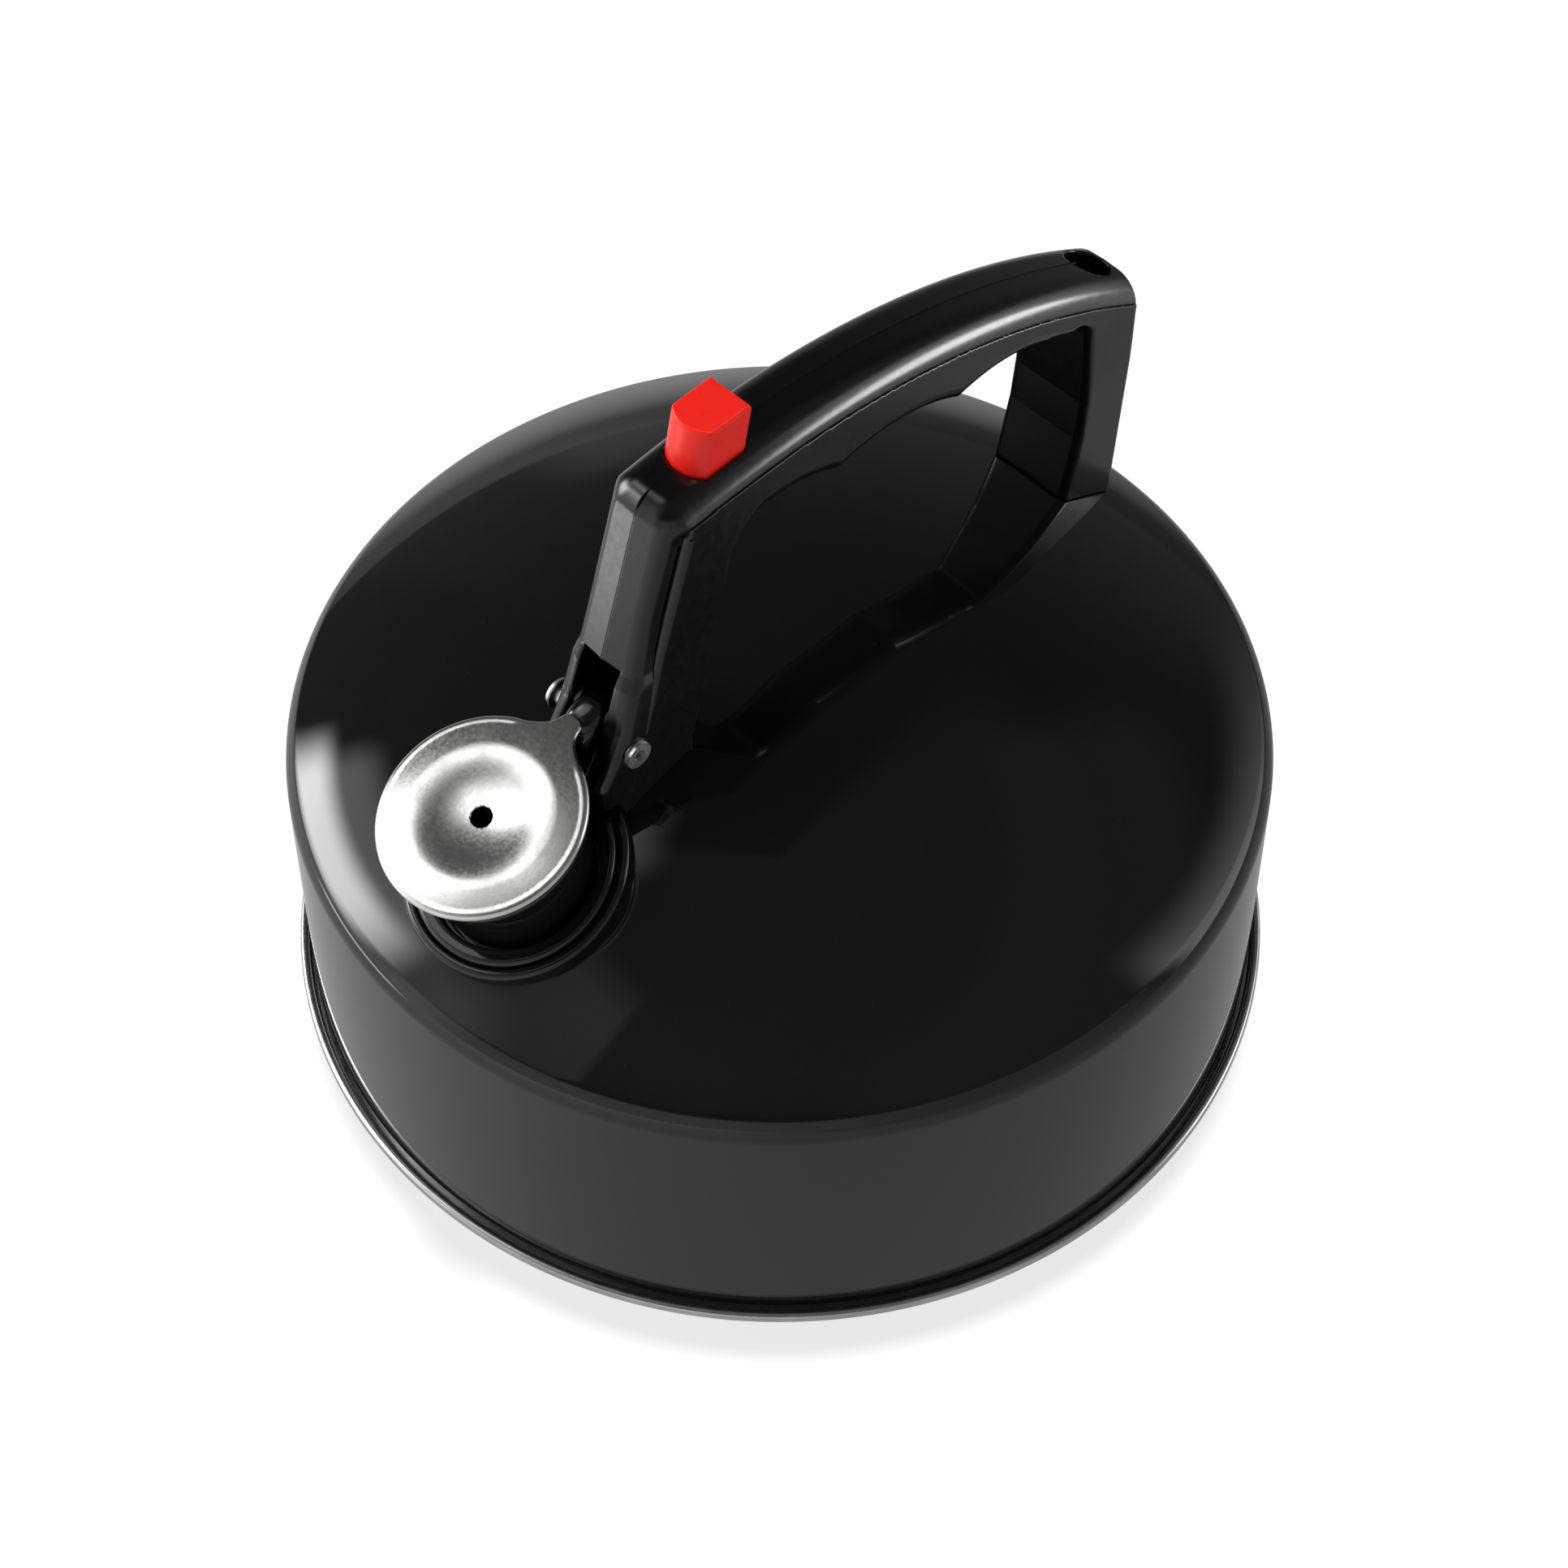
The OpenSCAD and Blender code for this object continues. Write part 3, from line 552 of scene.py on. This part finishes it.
def beyond(point, lean, x, z, side):
    """Distance beyond an upright face through a point, leaning by an angle, on the front (1) or back (-1)."""
    return side * ((x - point[0]) * cos(lean) + (z - point[1]) * sin(lean))


def handle_faces(x, y, z):
    """Coordinates filled out, y without its sign, distances past the outer faces and past the back face,
    and the share of the front leg."""
    x, z = np.broadcast_arrays(x, z)
    side = np.abs(y)
    top = np.hypot(x - ARCH_C[0], z - ARCH_C[1]) - ARCH_R + ROOF * side
    front = beyond(FRONT, FRONT_LEAN, x, z, 1) + FRONT_ROOF * side
    back = beyond(BACK, BACK_LEAN, x, z, -1)
    leg = smoothstep(-1, 5, front - top)
    return x, z, side, round_max(top, front, CORNER_R), back, leg


def button_plan(x, y, gap, r):
    """Distance to the button's outline from above, flat behind and round in front, with a gap all round."""
    nose = np.hypot(x - BUTTON_MID, y) - BUTTON_ROUND - gap
    return round_max(nose, np.maximum(np.abs(y) - BUTTON_HALF, -x) - gap, r)


def handle_cuts(d, x, y, z):
    """Handle part with the well, the fork, the screw holes, the collar's room and the dome taken away."""
    px, py, pz = local(AT_PUSH, x, y, z)
    d = round_max(d, -np.maximum(button_plan(px, py, WELL_GAP, 0.8), -pz - WELL_DEPTH), 0.35)
    slope = (LEG_LOW[0] - LEG_HIGH[0]) / (LEG_HIGH[1] - LEG_LOW[1])
    rear = LEG_LOW[0] + FORK_WEB - (z - LEG_LOW[1]) * slope
    slot = np.maximum(np.maximum(np.abs(y) - FORK_SLOT_HALF, z - FORK_SLOT_TOP), rear - x)
    d = round_max(d, -slot, 0.4)
    sx, sy, sz = local(AT_SCREW, x, y, z)
    d = round_max(d, -np.maximum(np.hypot(sx, sy) - ACCESS_R, WEB_TOP - sz), 0.4)
    d = np.maximum(d, -np.maximum(np.hypot(sx, sy) - STUD_ROOM_R, sz - STUD_ROOM_H))
    cx, cy, cz = local(AT_COLLAR, x, y, z)
    collar_gap, collar_room = 0.35, 5
    d = np.maximum(d, -np.maximum(np.hypot(cx, cy) - COLLAR_R - collar_gap, np.abs(cz) - collar_room))
    dome = np.sqrt(x * x + y * y + (z - DOME_C) ** 2) - DOME_R - 0.1
    return round_max(d, -dome, 0.4)


def cover_distance(x, y, z):
    """Upper part of the handle: wide and round along the grip, narrow down the front leg, wide at the toe."""
    x2, z2, side, outer, back, leg = handle_faces(x, y, z)
    # the cheeks of the fork widen downwards, the one on the camera's side more
    spread = np.where(y < 0, 0.6, 2.5) * smoothstep(132, 100, z2)
    wide = mixed(GRIP_COVER_HALF, LEG_COVER_HALF, leg) + spread * leg
    d = round_max(outer, side - wide, mixed(5.8, 2.6, leg))
    d = round_max(d, back, 1.2)
    toe = round_max(outline_distance(TOE, x2, z2), side - LEG_COVER_HALF - spread, 2.4)
    d = round_min(d, toe, 1.5)
    lid = round_max(d, -outer - COVER_DEPTH, 0.4)
    tongue = np.maximum(d + 1, -outer - COVER_DEPTH - 1.5)
    return handle_cuts(np.minimum(lid, tongue), x, y, z)


def core_distance(x, y, z):
    """Lower part of the handle, which stands out at the front leg and has the opening for the hand."""
    x2, z2, side, outer, back, leg = handle_faces(x, y, z)
    # wider at the feet, and rounder along the waves under the grip
    wide = CORE_HALF + 0.55 * smoothstep(122, 105, z2)
    under = smoothstep(118, 126, z2) * smoothstep(-72, -64, x2) * smoothstep(20, 12, x2)
    top, sides = outer + COVER_DEPTH, side - wide
    d = np.where(leg > 0.5, round_max(top, sides, 1.5), round_max(top, sides, 0.15))
    d = np.maximum(d, round_max(-outline_distance(GAP, x2, z2), sides, 1.8 + 2.2 * under))
    return handle_cuts(np.maximum(d, round_max(back, sides, 1.2)), x, y, z)


def handle():
    """Two mould halves that meet along the sides of the handle."""
    low, high = (-94, -10.575, 67), (58.5, 10.575, 157.5)
    for name, distance in (("handle_cover", cover_distance), ("handle_core", core_distance)):
        carve(name, distance, low, high, 0.45, HERE, "kettle", HANDLE, ["handle"])


def on_arch(x):
    """Height of the grip's top."""
    return ARCH_C[1] + sqrt(ARCH_R ** 2 - (x - ARCH_C[0]) ** 2)


def ridge(name, path):
    """Fine raised line along points with their outward directions (x, z, direction x, direction z)."""
    height, root, half = 0.13, 0.3, 0.2
    verts, faces = [], []
    for x, z, nx, nz in path:
        foot_x, foot_z = x - root * nx, z - root * nz
        verts += [(x + height * nx, 0, z + height * nz), (foot_x, half, foot_z), (foot_x, -half, foot_z)]
    for k in range(0, len(verts) - 3, 3):
        faces += [(k, k + 3, k + 4, k + 1), (k + 1, k + 4, k + 5, k + 2), (k + 2, k + 5, k + 3, k)]
    last = len(verts) - 3
    faces += [(0, 1, 2), (last + 2, last + 1, last)]
    return make(name, verts, faces, HERE, "kettle", HANDLE, ["handle"])


def parting_line():
    """Fine raised line where the mould's halves met: along the grip, and from the button down the leg."""
    hole_edge, button_back, button_front, fork_end = -81.0, 12.3, 26.2, 120.4

    def above(x0, x1, n):
        return [(x, on_arch(x), (x - ARCH_C[0]) / ARCH_R, (on_arch(x) - ARCH_C[1]) / ARCH_R)
                for x in np.linspace(x0, x1, n)]

    middle = np.array(ARCH_C)
    face, down = np.array((cos(FRONT_LEAN), sin(FRONT_LEAN))), np.array((sin(FRONT_LEAN), -cos(FRONT_LEAN)))
    start = np.array(FRONT) - CORNER_R * face - middle
    along = start @ down
    reach = -along - sqrt(along ** 2 - start @ start + (ARCH_R - CORNER_R) ** 2)
    centre = start + reach * down + middle
    first = atan2(*(centre - middle)[::-1])
    corner = [(*(centre + CORNER_R * np.array((cos(a), sin(a)))), cos(a), sin(a))
              for a in np.linspace(first, FRONT_LEAN, 10)]
    end = centre + CORNER_R * face
    leg = [(*(end + t * down), *face) for t in np.linspace(1, (end[1] - fork_end) / cos(FRONT_LEAN), 30)]
    ridge("parting_line_grip", above(hole_edge, button_back, 90))
    ridge("parting_line_leg", above(button_front, corner[0][0] - 0.5, 6) + corner + leg)


# ---------------------------------------------------------------- moving parts
def button_distance(x, y, z):
    """Post that leans with the push, with a level top."""
    level = x * sin(PUSH_LEAN) + z * cos(PUSH_LEAN)
    length = 13
    return round_max(np.maximum(button_plan(x, y, 0, 0.5), -z - length), level, 0.55)


def button():
    """Red push button, which stands out of its well in the grip."""
    low, high = (-1.2, -6.15, -14), (12.6, 6.15, 3.2)
    return carve("release_button", button_distance, low, high, 0.3, AT_PUSH,
                 "plunger", RED, ["button"])


def spring():
    """The button's return spring, which rides with the button."""
    packed = NODES["button_spring"]
    verts = np.array([packed.matrix_world @ v.co for v in packed.data.vertices]) / MM
    faces = [tuple(p.vertices) for p in packed.data.polygons]
    coil = make("return_spring", verts, faces, HERE, "plunger", PLAIN, ["button_spring"])
    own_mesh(coil)


CROWN_R = 140.0  # the ring of the cap lies on a large ball of this radius
DISH_R = 12.2
DISH_H = 1.5
CAP_SHEET = 0.9
CAP_HOLE_R = 2.1
PLATE_HOLE_R = 2.5
ROLL_R = 0.75


def cap_distance(x, y, z):
    """Pressed sheet: a dish in a crowned ring with a rolled edge, and the tab that runs out of it."""
    r = np.hypot(x, y)
    tab = smoothstep(-13, -18, x) * smoothstep(9, 4, np.abs(y))
    crown = CAP_H + np.sqrt(CROWN_R ** 2 - r ** 2) - sqrt(CROWN_R ** 2 - DISH_R ** 2)
    ball = (DISH_R ** 2 + DISH_H ** 2) / (2 * DISH_H)
    dish = CAP_H - DISH_H + ball - np.sqrt(ball ** 2 - r ** 2)
    merge = np.maximum(1.0 - np.abs(crown - dish), 0)
    top = np.minimum(crown, dish) - merge ** 2 / 4
    reach = smoothstep(-27, -15.5, x)
    tail = round_max(np.abs(y) - 2.3 - 5.2 * reach ** 2, np.abs(x + 20.8) - 4.7, 1.6)
    plan = round_min(r - CAP_R, tail, 2.0)
    sheet = np.maximum(round_max(plan, z - top, 0.7), top - CAP_SHEET - z)
    roll = np.hypot(r - CAP_R + 0.8, z - CAP_H + 1.75) - ROLL_R + 0.9 * tab
    return np.maximum(round_min(sheet, roll, 0.6), CAP_HOLE_R - r)


def cap():
    """Steel cap with the steam hole in its dish."""
    low, high = (-33, -21.35, CAP_H - 3), (21.35, 21.35, CAP_H + 0.9)
    return carve("whistle_cap", cap_distance, low, high, 0.35, AT_SPOUT,
                 "cap", CAP_STEEL, ["cap_plate"])


def whistle_plate():
    """Lower plate of the whistle, which sinks into the mouth and rests on its lip."""
    low = MOUTH_H + 0.3
    sunk, well_r, bend_r, rim_r = low - 1.2, 11, 17.9, 19.4
    sheet, rim = 0.8, 1.4
    p = [(PLATE_HOLE_R, sunk), (well_r, sunk, 0.5), (well_r, low, 0.3), (bend_r, low), (rim_r, low, 0.7),
         (rim_r, low + rim, 0.7), (bend_r, low + rim, 0.5), (bend_r - 0.3, low + sheet, 0.4),
         (well_r - sheet, low + sheet, 0.4), (well_r - sheet, sunk + sheet, 0.4),
         (PLATE_HOLE_R, sunk + sheet)]
    return lathe("lower_whistle_plate", rounded(p), AT_SPOUT, "cap", BRIGHT,
                 ["whistle_plate"], 160)


def lever_distance(x, y, z):
    """Knuckle round the pivot, the block that the cap's tab is riveted to, and the tail that the rod
    pushes."""
    knuckle_r, half, bore_r = 7.0, 3.1, 2.06
    from_pivot = np.hypot(x - PIVOT.x, z - PIVOT.z)
    knuckle = round_max(from_pivot - knuckle_r, np.abs(y) - half, 2.0)
    u, v, h = local(AT_SPOUT, x, y, z)
    block = round_max(np.abs(u + 27.3) - 4.9, np.abs(h - 18.8) - 3.6, 3.4)
    block = round_max(block, np.abs(v) - half, 2.8)
    nose = np.array((35.2, 104.6)) - np.array((PIVOT.x, PIVOT.z))
    reach = np.hypot(*nose)
    ahead = nose / reach
    a = (x - PIVOT.x) * ahead[0] + (z - PIVOT.z) * ahead[1]
    b = -(x - PIVOT.x) * ahead[1] + (z - PIVOT.z) * ahead[0]
    tail = np.maximum(np.abs(b) - 1.5, np.maximum(-a, a - reach))
    tail = np.minimum(tail, np.hypot(a - reach, b) - 2)
    tail = round_max(tail, np.abs(y) - 2.5, 0.5)
    d = round_min(round_min(knuckle, block, 2.0), tail, 1.0)
    return np.maximum(d, bore_r - from_pivot)


def lever():
    """Black lever that carries the cap."""
    low, high = (32, -3.85, 94), (57, 3.85, 121)
    return carve("cap_lever_piece", lever_distance, low, high, 0.35, HERE,
                 "cap", LEVER, ["cap_lever", "cap_rivet"])


# ---------------------------------------------------------------- stage
CAMERA_TURN = 45.0  # the side that the picture is taken from, in degrees about the upright axis


def stage_axes(tree, place):
    """Share of a place or direction towards the camera's side, and its share to the picture's right."""
    c, s = cos(radians(CAMERA_TURN)), sin(radians(CAMERA_TURN))
    towards = total(tree, product(tree, place[0], c), product(tree, place[1], s))
    right = maths(tree, "SUBTRACT", product(tree, place[1], c), product(tree, place[0], s))
    return towards, right


def band(tree, value, low, high, soft_low, soft_high):
    """1 between low and high and 0 outside, with edges of the two soft widths."""
    up = ramp(tree, value, low - soft_low / 2, low + soft_low / 2)
    down = ramp(tree, value, high - soft_high / 2, high + soft_high / 2, 1.0, 0.0)
    return product(tree, up, down)


def light_the_world():
    """Studio of soft panels: turn is the angle from the camera's side to the right, lift the angle above
    the floor."""
    world = bpy.data.worlds.new("studio")
    bpy.context.scene.world = world
    world.use_nodes = True
    tree = world.node_tree
    tree.nodes.clear()
    way = node(tree, "SeparateXYZ", {0: node(tree, "TexCoord").outputs["Generated"]}).outputs
    towards, right = stage_axes(tree, way)
    turn = product(tree, maths(tree, "ARCTAN2", right, towards), 180 / pi)
    lift = product(tree, maths(tree, "ARCSINE", way[2]), 180 / pi)
    panels = [
        # turn from, to, soft from, soft to; lift from, to, soft from, soft to; brightness
        ((-300, 300, 1, 1), (-95, 95, 1, 1), 0.09),  # the room
        ((-100, 140, 8, 20), (50, 95, 16, 1), 0.085),  # ceiling
        ((20, 128, 30, 14), (28, 54, 14, 16), 0.10),  # ceiling on the right
        ((-88, 78, 20, 30), (-20, 31, 10, 4), 0.36),  # wall behind the camera
        ((-88, 10, 20, 60), (-20, 29, 10, 8), 0.35),  # its brighter left half
        ((-92, -68, 16, 20), (-12, 44, 8, 12), 0.8),  # edge of the left softbox
        ((-76, -46, 14, 3), (36, 61, 12, 8), 0.34),  # its glow on the ceiling
        ((-118, -104, 6, 8), (38, 54, 8, 10), 4.0),  # lamp in its top
        ((-122, -90, 12, 16), (48, 70, 8, 12), 2.2),  # glow above the lamp
        ((-195, -146, 2, 6), (-20, 26, 10, 40), 0.04),  # far wall, left half
        ((-195, -163, 2, 8), (-8, 9, 4, 8), 0.2),  # lit strip low on it
        ((134, 195, 20, 2), (-20, 24, 10, 40), 0.08),  # far wall, right half
    ]
    parts = [product(tree, band(tree, turn, *across), band(tree, lift, *above), level)
             for across, above, level in panels]
    slant = 0.57
    tilted = maths(tree, "SUBTRACT", lift, product(tree, total(tree, turn, 101.0), slant))
    softbox = product(tree, band(tree, turn, -124, -93, 8, 18), ramp(tree, lift, -10, 18),
                      ramp(tree, tilted, 28, 32.5, 14.5, 0.0))
    spill = product(tree, band(tree, turn, -122, -88, 6, 10), band(tree, tilted, 20, 38, 10, 7), 2.0)
    falling = total(tree, lift, product(tree, maths(tree, "SUBTRACT", turn, 84.0), slant))
    window = product(tree, band(tree, turn, 84, 122, 10, 44), ramp(tree, falling, 31, 43, 2.4, 0.0),
                     ramp(tree, lift, -12, 0))
    glow = total(tree, *parts, total(tree, softbox, spill), window)
    path = node(tree, "LightPath").outputs
    seen = maths(tree, "MAXIMUM", path["Is Camera Ray"], path["Is Transmission Ray"])
    level = total(tree, product(tree, glow, maths(tree, "SUBTRACT", 1.0, seen)), seen)
    light = node(tree, "Background", {"Strength": level})
    tree.links.new(light.outputs[0], node(tree, "OutputWorld").inputs[0])


def floor():
    """White floor that keeps the kettle's shadow; its mirror image has its own painted soft light, with
    painted shade near the kettle.
    """
    size = 3.0
    mesh = bpy.data.meshes.new("floor")
    corners = [(-size, -size, 0), (size, -size, 0), (size, size, 0), (-size, size, 0)]
    mesh.from_pydata(corners, [], [(0, 1, 2, 3)])
    obj = bpy.data.objects.new("floor", mesh)
    bpy.context.scene.collection.objects.link(obj)
    mat, tree = blank("floor")
    place = node(tree, "SeparateXYZ", {0: node(tree, "NewGeometry").outputs["Position"]}).outputs
    towards, right = stage_axes(tree, place)
    squares = [maths(tree, "POWER", place[i], 2.0) for i in (0, 1)]
    out = maths(tree, "SQRT", total(tree, *squares))
    # painted light and shade seen only in reflections: darker near the kettle, brighter towards the picture's
    # left, darker far behind
    level = product(tree, ramp(tree, right, -0.5, 0.35, 1.05, 0.36), ramp(tree, out, 0.1, 0.3, 0.72, 1.0),
                    ramp(tree, towards, -0.7, -0.2, 0.3, 1.0))
    # painted bright strip on the floor to the picture's left, on the camera's side, for the handle's front
    # face to reflect
    behind = total(tree, product(tree, right, -0.33), product(tree, towards, -1.0))
    edges = product(tree, ramp(tree, towards, -0.04, 0.0), ramp(tree, right, -0.46, -0.40))
    lit = product(tree, ramp(tree, behind, -0.03, 0.02), ramp(tree, right, -0.42, -0.27, 7.0, 0.0), edges)
    path = node(tree, "LightPath").outputs
    mirror = node(tree, "Emission", {"Strength": total(tree, level, lit)})
    plain = node(tree, "BsdfDiffuse", {"Color": (0.05, 0.05, 0.05, 1)})
    glow = node(tree, "Emission", {"Strength": 0.79})
    seen = node(tree, "AddShader", {0: plain.outputs[0], 1: glow.outputs[0]})
    both = node(tree, "MixShader", {0: path["Is Glossy Ray"], 1: seen.outputs[0], 2: mirror.outputs[0]})
    finish_material(tree, both)
    mesh.materials.append(mat)
    sun("shadow_lamp", 17, 5, -180, 80, ["floor"])


def sun(name, strength, width, turn, lift, lit, shading=False):
    """Distant softbox, so many degrees wide, that lights only some pieces, at a turn from the camera's side
    and a lift above the floor. With shading, only those pieces shade it."""
    lamp = bpy.data.lights.new(name, "SUN")
    lamp.energy = strength
    lamp.angle = radians(width)
    obj = bpy.data.objects.new(name, lamp)
    bpy.context.scene.collection.objects.link(obj)
    turn, lift = radians(turn + CAMERA_TURN), radians(lift)
    way = Vector((cos(turn) * cos(lift), sin(turn) * cos(lift), sin(lift)))
    obj.rotation_mode = "QUATERNION"
    obj.rotation_quaternion = (-way).to_track_quat("-Z", "Y")
    only = bpy.data.collections.new(name + "_receivers")
    for piece in lit:
        only.objects.link(bpy.data.objects[piece])
    obj.light_linking.receiver_collection = only
    if shading:
        obj.light_linking.blocker_collection = only


def camera():
    """Camera of the photograph, in metres and in millimetres of film."""
    place, target = Vector((0.3504, 0.3517, 0.6741)), Vector((-0.0006, 0.0006, 0.0422))
    roll = radians(-0.19)
    ahead = (target - place).normalized()
    right = ahead.cross(Vector((0, 0, 1))).normalized()
    up = right.cross(ahead)
    right, up = right * cos(roll) + up * sin(roll), up * cos(roll) - right * sin(roll)
    data = bpy.data.cameras.new("camera")
    data.sensor_width = 36
    data.lens = 91.8
    data.clip_start, data.clip_end = 0.05, 20
    cam = bpy.data.objects.new("camera", data)
    turn = Matrix((right, up, -ahead)).transposed().to_4x4()
    cam.matrix_world = Matrix.Translation(place) @ turn
    bpy.context.scene.collection.objects.link(cam)
    bpy.context.scene.camera = cam


def dress(material, slot, *names):
    """Material on CAD parts whose own shape shows."""
    for name in names:
        obj = NODES[name]
        obj.data.materials.clear()
        obj.data.materials.append(material)


bpy.context.scene.view_settings.view_transform = "Standard"
light_the_world()
floor()
camera()
kettle_body()
base()
neck()
collar()
handle()
parting_line()
button()
spring()
cap()
whistle_plate()
lever()
sun("grip_lamp", 4.5, 36, 92, -4, ["handle_cover", "handle_core"], True)
sun("button_lamp", 1.7, 20, 135, 78, ["release_button"], True)
dress(DISC, "disc_aluminium", "heat_disc")
dress(BRACKET, "bracket_paint", "front_bracket")
dress(BRIGHT, "bright_steel", "push_rod", "rear_screw")
dress(RIVET, "bright_steel", "pivot_rivet")
dress(PLAIN, "plain_steel", "rear_stud", "rear_washer", "rear_lock_washer", "neck_lock_ring")
dress(DARK, "dark_steel", "rivet_washer_left", "rivet_washer_right", "rod_clip")
